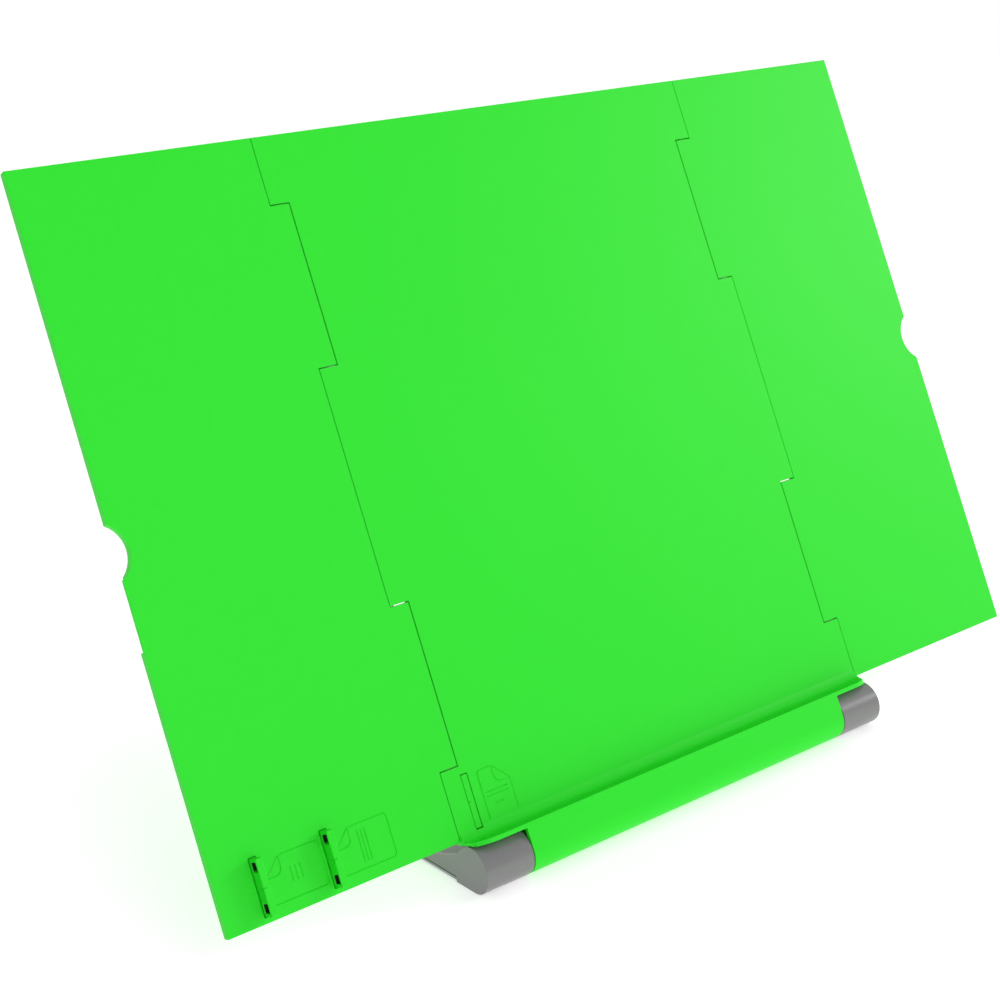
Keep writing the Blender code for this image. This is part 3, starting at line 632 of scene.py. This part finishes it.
# ---------------------------------------------------------------- screws
# Small zinc-plated steel screws with a flat head and a cross recess. They go up through the
# sole into the grey foot. Their threads are drawn as rings.

UP = Vector((0.0, 0.0, 1.0))
zinc = bright_metal("zinc_plate", (0.60, 0.61, 0.64), 0.32, (1.0, 1.0, 1.0))
HEAD_THICK = 0.35
SHANK_R = 1.2
THREAD_R = 1.0               # at the thread's root
THREAD_PITCH = 0.5
RECESS_LONG = 2.6
RECESS_WIDE = 0.55
RECESS_DEEP = 0.2


def slot_cutter(centre, turn):
    """One bar of the cross recess, turned about the screw's axis."""
    bm = bmesh.new()
    bmesh.ops.create_cube(bm, size=1.0)
    bmesh.ops.scale(bm, vec=Vector((RECESS_LONG, RECESS_WIDE, 2 * RECESS_DEEP)) * MM,
                    verts=bm.verts)
    bmesh.ops.rotate(bm, cent=(0, 0, 0), matrix=Matrix.Rotation(turn, 3, "Z"), verts=bm.verts)
    bmesh.ops.translate(bm, vec=centre, verts=bm.verts)
    return add_piece("slot_cutter", bm, zinc)


for node in [n for n in BODY_OF if n.endswith("_screw")]:
    place, length, radius, bore = round_place(node, UP)
    ease = HEAD_THICK / 3
    profile = [(0.0, 0.0), (0.0, radius - ease), (ease, radius), (HEAD_THICK, radius),
               (HEAD_THICK, SHANK_R)]
    reach = HEAD_THICK
    while reach + THREAD_PITCH < length - THREAD_PITCH:
        profile += [(reach + THREAD_PITCH / 2, THREAD_R), (reach + THREAD_PITCH, SHANK_R)]
        reach += THREAD_PITCH
    profile += [(length, THREAD_R * 0.7), (length, 0.0)]
    screw = turned(node, zinc, place, UP, profile, steps=32)
    for turn in (0.0, math.pi / 2):
        engrave(screw, [slot_cutter(place, turn)])

# ---------------------------------------------------------------- rubber pads
# Four thin black rubber pads glued under the sole keep the easel from sliding. Each has a
# shallow ring moulded in its underside.

rubber, start, inputs = new_material("black_rubber", 0.8)
crumb = start.node("ShaderNodeTexNoise", {}, {"Scale": 2600.0, "Detail": 1.0})
feed(inputs, "Base Color", start.node("ShaderNodeMix", {"data_type": "RGBA"}, {
    0: crumb, 6: (0.018, 0.018, 0.018, 1.0), 7: (0.04, 0.04, 0.04, 1.0)}, 2))
feed(inputs, "Normal", start.node("ShaderNodeBump", {}, {"Height": crumb, "Strength": 0.4,
                                                        "Distance": 0.00005}))
FOOT_EASE = 0.15
FOOT_RING = 0.8              # width of the ring moulded in the pad's underside
for node in [n for n in BODY_OF if n.endswith("_foot")]:
    place, thick, radius, bore = round_place(node, UP)
    ring = radius / 2
    turned(node, rubber, place, UP, [
        (0.0, 0.0), (0.0, ring), (FOOT_EASE, ring + FOOT_EASE), (FOOT_EASE, ring + FOOT_RING),
        (0.0, ring + FOOT_RING + FOOT_EASE), (0.0, radius - FOOT_EASE), (FOOT_EASE, radius),
        (thick - FOOT_EASE, radius), (thick, radius - FOOT_EASE), (thick, 0.0)])
